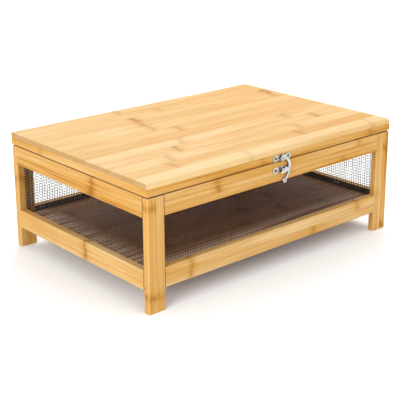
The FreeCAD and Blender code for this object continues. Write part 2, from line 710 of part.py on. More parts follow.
def make_pins():
    """Make the pivot rivet of the lever and the stud that the lever hooks under."""
    seat = "Sizes.plate_thick + Sizes.boss_rise + Sizes.lever_thick"
    headed_pin("latch_pivot", "Sizes.rivet_radius", "Sizes.rivet_head",
               f"{seat} + Sizes.pin_play", "Places.latch_z")
    headed_pin("catch_stud", "Sizes.stud_radius", "Sizes.stud_head",
               f"{seat} + Sizes.stud_play", "Places.catch_z")


def bent_bar(points, width, thick):
    """Make a flat bar with round ends along the arc through three points of the XZ plane."""
    start, middle, end = [Vector(x, 0, z) for x, z in points]
    curve = Part.Arc(start, middle, end).toShape().Curve
    half = width / 2

    def shifted(point, way):
        return point + (point - curve.Center).normalize() * (way * half)

    def cap(point, away):
        tangent = (point - curve.Center).cross(Y_AXIS).normalize()
        if tangent.dot(point - away) < 0:
            tangent = tangent * -1
        return point + tangent * half

    edges = [
        Part.Arc(shifted(start, 1), shifted(middle, 1), shifted(end, 1)),
        Part.Arc(shifted(end, 1), cap(end, middle), shifted(end, -1)),
        Part.Arc(shifted(end, -1), shifted(middle, -1), shifted(start, -1)),
        Part.Arc(shifted(start, -1), cap(start, middle), shifted(start, 1)),
    ]
    outline = Part.Wire([edge.toShape() for edge in edges])
    return Part.Face(outline).extrude(Vector(0, -thick, 0))


def polar(radius, degrees):
    """Give the XZ place at a radius from the pivot, the angle counted from straight down."""
    angle = math.radians(degrees)
    return (radius * math.sin(angle), -radius * math.cos(angle))


def disc(middle, radius, thick):
    """Make a round plate in the XZ plane."""
    return Part.makeCylinder(radius, thick, Vector(middle[0], 0, middle[1]), Vector(0, -1, 0))


def make_lever():
    """Make the lever: an eye, an arm bent to the right, a hook under the stud, a tail and a ring."""
    thick = size("lever_thick")
    arm = size("arm_radius")
    turn = math.radians(size("arm_turn"))
    lip = size("latch_drop") + size("stud_radius") + size("lip_play") + size("lip_width") / 2
    start, end = size("lip_start"), size("lip_end")
    reach = size("latch_drop") + size("tail_length")
    arm_middle = (arm * math.sin(turn), arm * (math.cos(turn) - 1))
    arm_end = polar(lip, end)
    tail_middle = polar(size("tail_bow") * lip, (end + size("tail_turn")) / 2)
    tail_end = polar(reach - size("ring_radius"), size("tail_turn"))
    ring_middle = polar(reach, size("ring_turn"))
    shapes = [
        disc((0, 0), size("lever_eye"), thick),
        bent_bar([(0, 0), arm_middle, arm_end], size("arm_width"), thick),
        bent_bar([polar(lip, start), polar(lip, (start + end) / 2), arm_end], size("lip_width"), thick),
        disc(polar(lip - size("lip_width") / 2, size("throat_turn")), size("throat_radius"), thick),
        bent_bar([arm_end, tail_middle, tail_end], size("tail_width"), thick),
    ]
    ring = Part.makeTorus(size("ring_radius"), size("ring_wire"),
                          Vector(ring_middle[0], -thick / 2, ring_middle[1]), Y_AXIS)
    lever = shapes[0].multiFuse(shapes[1:] + [ring])
    hole = disc((0, 0), size("rivet_radius") + size("pin_play"), thick)
    feature = DOC.addObject("Part::Feature", "lever_stamping")
    feature.Shape = lever.cut(hole).removeSplitter()
    feature.Placement = Placement(Vector(0, place("lever_y"), place("latch_z")), Rotation())
    keep("latch_lever", feature)


# --- checks and files --------------------------------------------------------------------------


def check_all():
    """Stop if any feature failed or any sub-part is empty or not valid."""
    DOC.recompute()
    for feature in DOC.Objects:
        if {"Invalid", "Error"} & set(feature.State):
            raise RuntimeError(f"{feature.Name} failed: {feature.State}")
    for label, feature in SUBPARTS.items():
        if feature.Shape.isNull() or not feature.Shape.isValid() or not feature.Shape.Solids:
            raise RuntimeError(f"{label} has no valid shape")


def write_all():
    """Write each sub-part to its own file."""
    os.makedirs("parts", exist_ok=True)
    for label, feature in SUBPARTS.items():
        feature.Shape.exportStep(f"parts/{label}.step")


def gather(name, solids):
    """Gather cutting tools in one feature."""
    feature = DOC.addObject("Part::Feature", name)
    feature.Shape = Part.makeCompound(solids)
    return feature


def main():
    """Build the cage."""
    screw_bores = make_screws()
    case_tools = make_dowels() + make_nails()
    case_tools += screw_bores["hinge_case_screws"].Shape.Solids
    case_tools += screw_bores["catch_plate_screws"].Shape.Solids
    lid_tools = list(screw_bores["hinge_lid_screws"].Shape.Solids)
    lid_tools += screw_bores["latch_plate_screws"].Shape.Solids
    make_case_wood(gather("case_bores", case_tools))
    make_floor()
    make_meshes()
    make_staples()
    make_bumpers()
    make_lid(gather("lid_bores", lid_tools))
    make_hinges(screw_bores)
    make_plates(screw_bores)
    make_pins()
    make_lever()
    check_all()
    write_all()


main()
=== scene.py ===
import math

import bmesh
import bpy
from bpy.props import FloatProperty, FloatVectorProperty, PointerProperty
from mathutils import Matrix, Vector


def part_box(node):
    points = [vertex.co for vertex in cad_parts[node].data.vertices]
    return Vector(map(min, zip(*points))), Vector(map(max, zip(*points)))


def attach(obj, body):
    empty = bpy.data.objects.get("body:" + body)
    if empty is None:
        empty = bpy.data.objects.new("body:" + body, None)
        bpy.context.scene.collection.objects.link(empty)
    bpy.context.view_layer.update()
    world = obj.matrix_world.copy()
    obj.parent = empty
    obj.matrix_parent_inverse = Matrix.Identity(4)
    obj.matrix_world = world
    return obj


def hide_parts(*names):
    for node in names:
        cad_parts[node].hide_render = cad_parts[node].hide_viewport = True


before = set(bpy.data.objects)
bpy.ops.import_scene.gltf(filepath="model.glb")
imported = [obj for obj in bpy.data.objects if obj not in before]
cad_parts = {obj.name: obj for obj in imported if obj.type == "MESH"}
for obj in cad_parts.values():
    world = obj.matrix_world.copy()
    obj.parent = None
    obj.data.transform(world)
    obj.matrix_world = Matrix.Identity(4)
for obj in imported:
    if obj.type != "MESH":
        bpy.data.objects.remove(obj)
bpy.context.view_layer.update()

bl_info = {
    "name": "Bamboo Cage",
    "version": (1, 0, 0),
    "blender": (4, 5, 0),
    "location": "3D View > Sidebar > Cage",
    "description": "Finishes a bamboo cage with woven mesh, a hinged lid and a hook latch",
    "category": "Object",
}

MM = 0.001
X, Y, Z = 0, 1, 2

# --- sizes that the CAD model gives ------------------------------------------------------------


def node_box(node):
    """Give a CAD node's lowest and highest corner at rest."""
    low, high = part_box(node)
    return Vector(low), Vector(high)


def solids_of(node):
    """Give the lowest and highest corner of each separate solid of a CAD node, in a fixed order."""
    shell = bmesh.new()
    shell.from_mesh(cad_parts[node].data)
    bmesh.ops.remove_doubles(shell, verts=shell.verts, dist=0.001 * MM)
    left = set(shell.verts)
    boxes = []
    while left:
        front = [left.pop()]
        found = list(front)
        while front:
            vert = front.pop()
            for edge in vert.link_edges:
                other = edge.other_vert(vert)
                if other in left:
                    left.remove(other)
                    front.append(other)
                    found.append(other)
        low = Vector([min(vert.co[axis] for vert in found) for axis in (X, Y, Z)])
        high = Vector([max(vert.co[axis] for vert in found) for axis in (X, Y, Z)])
        boxes.append((low, high))
    shell.free()
    return sorted(boxes, key=lambda box: [round(part, 4) for part in (*box[0], *box[1])])


# --- settings ----------------------------------------------------------------------------------


def colour(name, description, default):
    """Make a colour setting."""
    return FloatVectorProperty(
        name=name, description=description, subtype="COLOR", size=3, min=0, max=1, default=default
    )


def length(name, description, default):
    """Make a length setting."""
    return FloatProperty(name=name, description=description, unit="LENGTH", min=0, default=default)


def power(name, description, default):
    """Make a setting for the power of a light."""
    return FloatProperty(name=name, description=description, unit="POWER", min=0, default=default)


class CageWoodSettings(bpy.types.PropertyGroup):
    """Colours and finish of the laminated bamboo."""

    cream: colour("Cream", "Palest strips", (0.59, 0.415, 0.200))
    straw: colour("Straw", "Usual strips", (0.51, 0.295, 0.095))
    honey: colour("Honey", "Warm strips", (0.48, 0.245, 0.052))
    caramel: colour("Caramel", "Darkest streaks", (0.34, 0.138, 0.012))
    joint: colour("Node", "Marks where the cane had its nodes", (0.19, 0.076, 0.004))
    end_grain: colour("End grain", "Cut ends of the strips", (0.29, 0.175, 0.072))
    floor: colour("Floor", "Tint of the floor board", (0.33, 0.205, 0.150))
    # Painted light: paler streaks near the floor board's front and left edges, where light falls in
    # through the windows.
    worn: colour("Edge_light", "Streaks near the edges of the floor board", (0.70, 0.50, 0.36))
    # Painted shade: a near-black band painted on the inner face of each bottom rail, where shade falls
    # inside the case.
    inner_shade: colour("Rail_shade", "Dark band inside the bottom rails", (0.022, 0.012, 0.007))
    gloss: FloatProperty(name="Roughness", description="Roughness of the satin lacquer", default=0.42)


class CageMeshSettings(bpy.types.PropertyGroup):
    """Sizes and colour of the woven wire mesh."""

    pitch: length("Pitch", "Distance between the wires", 3.7 * MM)
    wire: length("Wire radius", "Radius of a wire", 0.22 * MM)
    crimp: length("Crimp", "How far a wire leaves the middle of the mesh", 0.08 * MM)
    tint: colour("Wire", "Dark lacquer of the wire", (0.042, 0.034, 0.028))


class CageMetalSettings(bpy.types.PropertyGroup):
    """Finish of the latch, the hinges and the fasteners."""

    nickel: colour("Nickel", "Bright plating of the latch", (0.56, 0.545, 0.52))
    screw: colour("Screws", "Dark steel of the wood screws", (0.17, 0.16, 0.15))
    steel: colour("Steel", "Staples and nails", (0.40, 0.39, 0.37))
    rubber: colour("Rubber", "Pads under the lid", (0.028, 0.024, 0.021))
    softness: length("Softness", "Fineness of the stamped parts' rounded edges", 0.16 * MM)


class CageStageSettings(bpy.types.PropertyGroup):
    """Floor, light and camera."""

    paper: colour("Paper", "Pale floor", (0.90, 0.90, 0.90))
    sky: FloatProperty(name="Sky", description="Strength of the light from all round", default=1.05)
    key: power("Key", "Power of the main soft light", 32)
    fill: power("Fill", "Power of the second soft light", 7)
    back: power("Back", "Power of the light behind the cage", 23)
    focal: FloatProperty(name="Focal length", description="Of the camera, in millimetres", default=88.84)


SETTINGS = (
    ("cage_wood", CageWoodSettings),
    ("cage_mesh", CageMeshSettings),
    ("cage_metal", CageMetalSettings),
    ("cage_stage", CageStageSettings),
)

# --- node helpers ------------------------------------------------------------------------------


class Term:
    """A node socket that takes part in Python arithmetic by adding Math nodes."""

    def __init__(self, nodes, socket):
        self.nodes = nodes
        self.socket = socket

    def math(self, operation, *others):
        inputs = dict(enumerate((self, *others)))
        return self.nodes.add("ShaderNodeMath", {"operation": operation}, inputs)

    def after(self, operation, first):
        return self.nodes.add("ShaderNodeMath", {"operation": operation}, {0: first, 1: self})

    def __add__(self, other):
        return self.math("ADD", other)

    def __radd__(self, other):
        return self.after("ADD", other)

    def __sub__(self, other):
        return self.math("SUBTRACT", other)

    def __rsub__(self, other):
        return self.after("SUBTRACT", other)

    def __mul__(self, other):
        return self.math("MULTIPLY", other)

    def __rmul__(self, other):
        return self.after("MULTIPLY", other)

    def __truediv__(self, other):
        return self.math("DIVIDE", other)

    def __abs__(self):
        return self.math("ABSOLUTE")

    def __neg__(self):
        return self.after("SUBTRACT", 0.0)

    def floor(self):
        return self.math("FLOOR")

    def above(self, limit):
        return self.math("GREATER_THAN", limit)

    def least(self, other):
        return self.math("MINIMUM", other)

    def most(self, other):
        return self.math("MAXIMUM", other)

    def fade(self, start, end):
        """Rise smoothly from 0 at start to 1 at end, which may lie below start."""
        settings = {"interpolation_type": "SMOOTHSTEP"}
        return self.nodes.add("ShaderNodeMapRange", settings, {0: self, 1: start, 2: end})


class Nodes:
    """A node tree to which nodes are added by type."""

    def __init__(self, tree):
        self.tree = tree

    def add(self, kind, settings=None, inputs=None, output=0):
        """Add a node, set it up, fill or link its inputs, and give one of its outputs."""
        node = self.tree.nodes.new(kind)
        for key, value in (settings or {}).items():
            if key == "stops":
                self.set_stops(node.color_ramp, value)
            else:
                setattr(node, key, value)
        for key, value in (inputs or {}).items():
            for part in value if isinstance(value, list) else [value]:
                if isinstance(part, Term):
                    self.tree.links.new(part.socket, node.inputs[key])
                else:
                    node.inputs[key].default_value = part
        return Term(self, node.outputs[output]) if node.outputs else None

    @staticmethod
    def set_stops(ramp, stops):
        """Give a ramp its stops, each a place and four numbers, after the way it blends."""
        blend, rows = stops
        ramp.interpolation = blend
        while len(ramp.elements) < len(rows):
            ramp.elements.new(1.0)
        for element, (place, value) in zip(ramp.elements, rows):
            element.position = place
        for element, (place, value) in zip(ramp.elements, rows):
            element.color = value

    def combine(self, x, y, z):
        return self.add("ShaderNodeCombineXYZ", None, {0: x, 1: y, 2: z})

    def parts(self, vector):
        """Split a vector in its three numbers."""
        first = self.add("ShaderNodeSeparateXYZ", None, {0: vector})
        return [Term(self, socket) for socket in first.socket.node.outputs]

    def noise(self, vector, detail=2.0, roughness=0.5, distortion=0.0):
        values = {
            "Vector": vector, "Scale": 1.0, "Detail": detail, "Roughness": roughness,
            "Distortion": distortion,
        }
        return self.add("ShaderNodeTexNoise", None, values)

    def mix(self, share, first, second, blend="MIX"):
        """Mix two colours."""
        settings = {"data_type": "RGBA", "blend_type": blend}
        colours = {0: share, 6: solid(first), 7: solid(second)}
        return self.add("ShaderNodeMix", settings, colours, output=2)

    def scaled(self, vector, factors, shift=(0.0, 0.0, 0.0)):
        """Multiply a vector part by part and add a shift."""
        values = {0: vector, 1: factors, 2: shift}
        return self.add("ShaderNodeVectorMath", {"operation": "MULTIPLY_ADD"}, values)


def solid(value):
    """Give a colour its fourth number, and leave a link as it is."""
    if isinstance(value, Term):
        return value
    return (*value[:3], 1.0)


class Finish(Nodes):
    """A material with one surface shader."""

    def __init__(self, name):
        self.material = bpy.data.materials.new(name)
        self.material.use_nodes = True
        super().__init__(self.material.node_tree)
        self.tree.nodes.clear()
        self.position = self.add("ShaderNodeTexCoord", None, None, output="Object")

    def normal_parts(self):
        """Give the size of the three parts of the surface's direction."""
        facing = self.add("ShaderNodeTexCoord", None, None, output="Normal")
        return [abs(part) for part in self.parts(facing)]

    def bump(self, height, depth, strength=1.0):
        values = {"Height": height, "Distance": depth, "Strength": strength}
        return self.add("ShaderNodeBump", None, values)

    def close(self, **inputs):
        """Add the surface shader, name its inputs and end the tree."""
        values = {key.replace("_", " "): value for key, value in inputs.items()}
        values["Base Color"] = solid(values["Base Color"])
        surface = self.add("ShaderNodeBsdfPrincipled", None, values)
        self.add("ShaderNodeOutputMaterial", None, {"Surface": surface})
        return self.material


# --- materials ---------------------------------------------------------------------------------

NO_MARK = None

# A ramp holds numbers from 0 to 1. A piece's length takes the middle of that range, and 0 is no mark.
MARKS_FROM = 0.1
MARKS_RANGE = 0.8


def share_of(place, low, high):
    """Turn the place of a node mark into a number that a ramp can hold."""
    return 0.0 if place is NO_MARK else MARKS_FROM + MARKS_RANGE * (place - low) / (high - low)


def bamboo(node, grain, across, strips, lean=0.0, tint=None, seed=0.0, shaded_face=None, figure=1.9, pale=()):
    """Make laminated bamboo: strips with their own tone, streaks, fibres and node marks.

    strips has a row for each strip: its tone from 0, cream, to 1, caramel, the places of up to two
    node marks along the grain, and how strong they are. A face at a given place along the third axis is
    painted near-black, a band of painted shade.
    figure is how bold the streaks are. Each of the pale edges is an axis and a place along it; near each,
    the board is painted paler in streaks, a painted pool of light falling in through the windows.
    """
    wood = bpy.context.scene.cage_wood
    low, high = node_box(node)
    count = len(strips)
    pitch = (high[across] - low[across]) / count
    side = 3 - grain - across
    finish = Finish(f"bamboo_{node}")
    spot = finish.parts(finish.position)
    row = (spot[across] - low[across]) / pitch
    index = row.floor().most(0.0).least(count - 1.0)
    inside = row - index
    ends = (low[grain], high[grain])
    # Each strip's row starts a little past its edge, and is read at the middle of the strip.
    table = [
        ((number + 0.02) / count if number else 0.0,
         (tone, share_of(first, *ends), share_of(second, *ends), depth))
        for number, (tone, first, second, depth) in enumerate(strips)
    ]
    stops = {"stops": ("CONSTANT", table)}
    strip = finish.add("ShaderNodeValToRGB", stops, {0: (index + 0.5) / count})
    depth = Term(finish, strip.socket.node.outputs["Alpha"])
    channels = finish.add("ShaderNodeSeparateColor", None, {0: strip})
    tone, first, second = [Term(finish, socket) for socket in channels.socket.node.outputs]

    def fabric(along, sideways, through=None, **more):
        factors = [0.0, 0.0, 0.0]
        factors[grain], factors[across], factors[side] = along, sideways, through or sideways
        shift = finish.combine(index * 3.71 + seed, index * 5.13 + seed * 2.0, index * 2.47 - seed)
        return finish.noise(finish.scaled(finish.position, tuple(factors), shift), **more)

    fibres = fabric(22, 1500, 900, detail=3.0, roughness=0.65)
    threads = fabric(14, 420, 300, detail=2.0)
    streaks = fabric(4, 170, 120, detail=3.0, roughness=0.6, distortion=0.2)
    clouds = fabric(5, 22, detail=3.0)
    strokes = fabric(95, 1500, 900, detail=2.0)
    wander = fabric(30, 110)

    along = spot[grain]
    span = high[grain] - low[grain]
    bend = (wander - 0.5) * 9 * MM + (inside - 0.5) * (tone - 0.4) * 22 * MM

    def marks(place):
        middle = (place - MARKS_FROM) * (span / MARKS_RANGE) + low[grain]
        gap = abs(along - middle + bend)
        halo = gap.fade(15 * MM, 2 * MM) * 0.35
        band = gap.fade(6 * MM, 1.5 * MM) * (0.35 + strokes.fade(0.42, 0.60) * 0.65)
        ring = gap.fade(1.2 * MM, 0.3 * MM) * 0.25
        return halo, band + ring

    halo_a, band_a = marks(first)
    halo_b, band_b = marks(second)
    halo = halo_a.most(halo_b) * depth
    band = (band_a.most(band_b) * depth * 0.95).least(1.0)

    warmth = tone + (streaks - 0.5) * figure + (clouds - 0.5) * 0.8 + (threads - 0.5) * 0.6
    warmth = warmth + halo * 0.9 + along * lean
    palette = [(0.0, solid(wood.cream)), (0.4, solid(wood.straw)), (0.72, solid(wood.honey)),
               (1.0, solid(wood.caramel))]
    paint = finish.add("ShaderNodeValToRGB", {"stops": ("LINEAR", palette)}, {0: warmth})
    paint = finish.mix(fibres.fade(0.50, 0.30) * 0.35, paint, wood.caramel)
    paint = finish.mix(strokes.fade(0.66, 0.76) * 0.35, paint, wood.joint)
    paint = finish.mix(band * 0.92, paint, wood.joint)
    between = row.above(0.5) * (count - 0.5 - row).above(0.0)
    seam = ((0.5 - abs(inside - 0.5)) * pitch).fade(0.35 * MM, 0.05 * MM) * between
    paint = finish.mix(seam * 0.30, paint, wood.joint)

    facing = finish.normal_parts()
    flat = facing[0].most(facing[1]).most(facing[2])
    # Painted highlight: the rounded edges, where no face is square to an axis, are painted paler.
    rounded = flat.fade(0.998, 0.93)
    paint = finish.mix(rounded * 0.30, paint, wood.cream)
    cut = facing[grain].fade(0.6, 0.85)
    fine = finish.scaled(finish.position, (850, 850, 850))
    bundles = finish.add("ShaderNodeTexVoronoi", None, {"Vector": fine}).fade(0.34, 0.12)
    sawn = finish.mix(bundles * 0.55, finish.mix(0.6, paint, wood.end_grain), wood.joint)
    paint = finish.mix(cut, paint, sawn)
    if tint is not None:
        paint = finish.mix(1.0, paint, tint, blend="MULTIPLY")
    # Painted light: streaks painted paler near each given edge, as light falling in through the windows.
    for axis, place in pale:
        near = abs(spot[axis] - place).fade(46 * MM, 4 * MM)
        paint = finish.mix(near * streaks.fade(0.32, 0.60), paint, wood.worn)
    # Painted shade: the face at this place is painted near-black.
    if shaded_face is not None:
        paint = finish.mix(abs(spot[side] - shaded_face).fade(0.6 * MM, 0.3 * MM), paint, wood.inner_shade)

    relief = fibres * 0.55 + threads * 0.3 - seam * 0.9 + band * 0.5 + bundles * cut * 0.8
    gloss = wood.gloss + (fibres - 0.5) * 0.22 + cut * 0.18 + band * 0.08
    return finish.close(
        Base_Color=paint,
        Roughness=gloss,
        Normal=finish.bump(relief, 0.10 * MM, 0.55),
        Specular_IOR_Level=0.06,
    )


def wire_finish():
    """Make the dark lacquer of the woven wire, worn in patches."""
    finish = Finish("mesh_wire")
    patches = finish.noise(finish.scaled(finish.position, (60, 60, 60)), detail=3.0)
    specks = finish.noise(finish.scaled(finish.position, (2600, 2600, 2600)), detail=1.0)
    tint = bpy.context.scene.cage_mesh.tint
    paint = finish.mix(patches.fade(0.35, 0.7) * 0.5, tint, tuple(part * 0.55 for part in tint))
    paint = finish.mix(specks.fade(0.62, 0.75) * 0.3, paint, (0.09, 0.075, 0.06))
    return finish.close(Base_Color=paint, Specular_IOR_Level=0.12, Roughness=0.55 + patches * 0.25)


def plated(name, tint, low, high, dirt, edge=0.0):
    """Make bright plating with fine scratches, soft dents and a little tarnish, and with painted shade in
    its hollows and, by edge, on the rims that turn away from the front.
    """
    finish = Finish(name)
    hairs = finish.noise(finish.scaled(finish.position, (900, 900, 9000)), detail=2.0)
    dents = finish.noise(finish.scaled(finish.position, (260, 260, 260)), detail=2.0)
    haze = finish.noise(finish.scaled(finish.position, (240, 240, 240)), detail=4.0, roughness=0.6)
    hollow = finish.add("ShaderNodeAttribute", {"attribute_name": "hollow"}, None, output="Fac")
    dull = haze.fade(0.42, 0.68)
    paint = finish.mix(dull * dirt, tint, tuple(part * 0.30 for part in tint))
    # Painted shade: the hollows and, as much as edge asks, the rims that turn away from the front are
    # painted near-black.
    rim_shade = finish.normal_parts()[Y].fade(0.80, 0.35) * edge
    paint = finish.mix(hollow.fade(0.01, 0.10).most(rim_shade) * 0.9, paint, (0.02, 0.018, 0.016))
    rough = low + dull * (high - low) + hairs.fade(0.55, 0.75) * 0.08
    relief = dents + hairs * 0.12
    return finish.close(
        Base_Color=paint, Metallic=1.0, Roughness=rough, Normal=finish.bump(relief, 0.05 * MM, 0.5)
    )


def rubber_finish():
    """Make the dark rubber of the pads."""
    finish = Finish("bumper_rubber")
    dust = finish.noise(finish.scaled(finish.position, (700, 700, 700)), detail=3.0)
    tint = bpy.context.scene.cage_metal.rubber
    paint = finish.mix(dust.fade(0.5, 0.75) * 0.4, tint, (0.12, 0.11, 0.10))
    relief = finish.bump(dust, 0.04 * MM, 0.4)
    return finish.close(Base_Color=paint, Roughness=0.62 + dust * 0.25, Normal=relief)


def paint_node(node, material):
    """Give a CAD node its material."""
    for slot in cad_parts[node].material_slots:
        slot.material = material


# --- pieces ------------------------------------------------------------------------------------


def add_piece(name, mesh):
    """Put a mesh in the scene as an object at the origin."""
    piece = bpy.data.objects.new(name, mesh)
    bpy.context.scene.collection.objects.link(piece)
    return piece


def settle(piece, degrees=35):
    """Turn a piece and its modifiers into a plain mesh with smooth faces and sharp corners."""
    graph = bpy.context.evaluated_depsgraph_get()
    mesh = bpy.data.meshes.new_from_object(piece.evaluated_get(graph), depsgraph=graph)
    piece.modifiers.clear()
    piece.data = mesh
    mesh.name = piece.name
    mesh.shade_smooth()
    mesh.set_sharp_from_angle(angle=math.radians(degrees))
    return piece


def hand_over(piece, body, slot, *nodes):
    """Let a piece ride on its body in place of its CAD nodes."""
    if not piece.data.polygons:
        raise RuntimeError(f"{piece.name} came out empty")
    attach(piece, body)
    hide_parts(*nodes)


def new_tree(name, inputs):
    """Start a Geometry Nodes tree with named inputs."""
    tree = bpy.data.node_groups.new(name, "GeometryNodeTree")
    for label, kind in inputs:
        tree.interface.new_socket(label, in_out="INPUT", socket_type=f"NodeSocket{kind}")
    tree.interface.new_socket("Geometry", in_out="OUTPUT", socket_type="NodeSocketGeometry")
    nodes = Nodes(tree)
    entry = nodes.add("NodeGroupInput").socket.node
    return nodes, {label: Term(nodes, entry.outputs[label]) for label, kind in inputs}


def end_tree(nodes, geometry, material):
    """End a tree with real geometry and its material."""
    real = nodes.add("GeometryNodeRealizeInstances", None, {0: geometry})
    dressed = nodes.add("GeometryNodeSetMaterial", None, {"Geometry": real, "Material": material})
    nodes.add("NodeGroupOutput", None, {"Geometry": dressed})


def grow(name, tree, values, points=None):
    """Run a tree on a new object and keep the result as a plain mesh."""
    piece = add_piece(name, points or bpy.data.meshes.new(name))
    modifier = piece.modifiers.new("build", "NODES")
    modifier.node_group = tree
    for item in tree.interface.items_tree:
        if item.in_out == "INPUT" and item.name in values:
            modifier[item.identifier] = values[item.name]
    return settle(piece)


def points_mesh(name, places):
    """Make a mesh of points, each with the turn of what stands on it."""
    mesh = bpy.data.meshes.new(name)
    mesh.from_pydata([place for place, turn in places], [], [])
    turns = mesh.attributes.new("turn", "FLOAT_VECTOR", "POINT")
    for number, (place, turn) in enumerate(places):
        turns.data[number].vector = turn
    return mesh


def turn_to(up, right, spin=0.0):
    """Give the turn that takes Z to up and X to right, after a spin about Z."""
    up = Vector(up).normalized()
    right = Vector(right).normalized()
    columns = Matrix((right, up.cross(right), up)).transposed()
    return (columns @ Matrix.Rotation(spin, 3, "Z")).to_euler()


def on_points(nodes, given, pattern):
    """Put a pattern on each point of the given mesh, turned as the point says."""
    kind = {"data_type": "FLOAT_VECTOR"}
    turn = nodes.add("GeometryNodeInputNamedAttribute", kind, {"Name": "turn"})
    turned = nodes.add("FunctionNodeEulerToRotation", None, {0: turn})
    return nodes.add(
        "GeometryNodeInstanceOnPoints",
        None,
        {"Points": given["Geometry"], "Instance": pattern, "Rotation": turned},
    )


def swept(nodes, line, radius, sides):
    """Sweep a round wire along a line of points."""
    path = nodes.add("GeometryNodeMeshToCurve", None, {0: line})
    ring = {"Resolution": sides, "Radius": radius}
    return path, nodes.add("GeometryNodeCurvePrimitiveCircle", None, ring)


def woven_tree():
    """Weave a panel of wire: each wire passes over and under the ones it crosses.

    The panel lies in the XZ plane. Beyond the fold on either side it is bent towards +Y.
    """
    nodes, given = new_tree("woven_wire", (
        ("Width", "Float"), ("Height", "Float"), ("Pitch", "Float"), ("Wire", "Float"),
        ("Crimp", "Float"), ("Fold", "Float"), ("Material", "Material"),
    ))
    wide = (given["Width"] / given["Pitch"] + 0.5).floor()
    tall = (given["Height"] / given["Pitch"] + 0.5).floor()
    index = nodes.add("GeometryNodeInputIndex")

    def family(wires, crossings, wire_span, run_span, upright):
        line = nodes.add("GeometryNodeMeshLine", None, {"Count": crossings + 2})
        starts = nodes.add("GeometryNodeMeshLine", None, {"Count": wires})
        pattern = {"Points": starts, "Instance": line}
        copies = nodes.add("GeometryNodeInstanceOnPoints", None, pattern)
        real = nodes.add("GeometryNodeRealizeInstances", None, {0: copies})
        points = crossings + 2
        wire = ((index + 0.5) / points).floor()
        step = index - wire * points
        beside = (wire + 0.5) * (wire_span / wires) - wire_span / 2
        ahead = ((step - 0.5) * (run_span / crossings)).most(0.0).least(run_span) - run_span / 2
        odd = (wire + step).math("MODULO", 2.0)
        sign = 1.0 - odd * 2.0 if upright else odd * 2.0 - 1.0
        off = sign * given["Crimp"]
        across, height = (beside, ahead) if upright else (ahead, beside)
        flat = across.most(-given["Fold"]).least(given["Fold"])
        beyond = (abs(across) - given["Fold"]).most(0.0)
        bent = beyond.above(0.0)
        place = nodes.combine(flat + bent * off, beyond + (1.0 - bent) * off, height)
        placed = nodes.add("GeometryNodeSetPosition", None, {"Geometry": real, "Position": place})
        path, circle = swept(nodes, placed, given["Wire"], 6)
        return nodes.add("GeometryNodeCurveToMesh", None,
                         {"Curve": path, "Profile Curve": circle, "Fill Caps": True})

    warp = family(wide, tall, given["Width"], given["Height"], True)
    weft = family(tall, wide, given["Height"], given["Width"], False)
    both = nodes.add("GeometryNodeJoinGeometry", None, {0: [warp, weft]})
    end_tree(nodes, both, given["Material"])
    return nodes.tree


def staple_tree():
    """Bend a staple on each point: crown along X, legs down, rounded shoulders."""
    nodes, given = new_tree("staples", (
        ("Geometry", "Geometry"), ("Crown", "Float"), ("Wire", "Float"), ("Leg", "Float"),
        ("Material", "Material"),
    ))
    index = nodes.add("GeometryNodeInputIndex")
    line = nodes.add("GeometryNodeMeshLine", None, {"Count": 4})
    side = index.above(1.5) * 2.0 - 1.0
    foot = abs(index - 1.5).above(1.0)
    radius = given["Wire"] / 2
    deep = radius - foot * (given["Leg"] + radius)
    place = nodes.combine(side * (given["Crown"] / 2 - radius), 0.0, deep)
    placed = nodes.add("GeometryNodeSetPosition", None, {"Geometry": line, "Position": place})
    path, circle = swept(nodes, placed, radius, 8)
    bent = nodes.add("GeometryNodeFilletCurve", {"mode": "POLY"},
                     {"Curve": path, "Count": 4, "Radius": given["Wire"], "Limit Radius": True})
    pattern = nodes.add("GeometryNodeCurveToMesh", None,
                        {"Curve": bent, "Profile Curve": circle, "Fill Caps": True})
    end_tree(nodes, on_points(nodes, given, pattern), given["Material"])
    return nodes.tree


def rod_tree():
    """Put a round rod with rounded rims on each point, from the point along +Z."""
    nodes, given = new_tree("rounded_rods", (
        ("Geometry", "Geometry"), ("Radius", "Float"), ("Length", "Float"), ("Rim", "Float"),
        ("Material", "Material"),
    ))
    rows = 4
    index = nodes.add("GeometryNodeInputIndex")
    line = nodes.add("GeometryNodeMeshLine", None, {"Count": 2 * rows})
    upper = index.above(rows - 0.5)
    step = index.least(2 * rows - 1 - index)
    angle = step * (math.pi / 2 / (rows - 1))
    rise = given["Rim"] * (1.0 - angle.math("COSINE"))
    reach = given["Radius"] - given["Rim"] * (1.0 - angle.math("SINE"))
    height = rise + upper * (given["Length"] - rise * 2.0)
    placed = nodes.add("GeometryNodeSetPosition", None,
                       {"Geometry": line, "Position": nodes.combine(0.0, 0.0, height)})
    path, circle = swept(nodes, placed, 1.0, 32)
    pattern = nodes.add("GeometryNodeCurveToMesh", None,
                        {"Curve": path, "Profile Curve": circle, "Scale": reach, "Fill Caps": True})
    end_tree(nodes, on_points(nodes, given, pattern), given["Material"])
    return nodes.tree


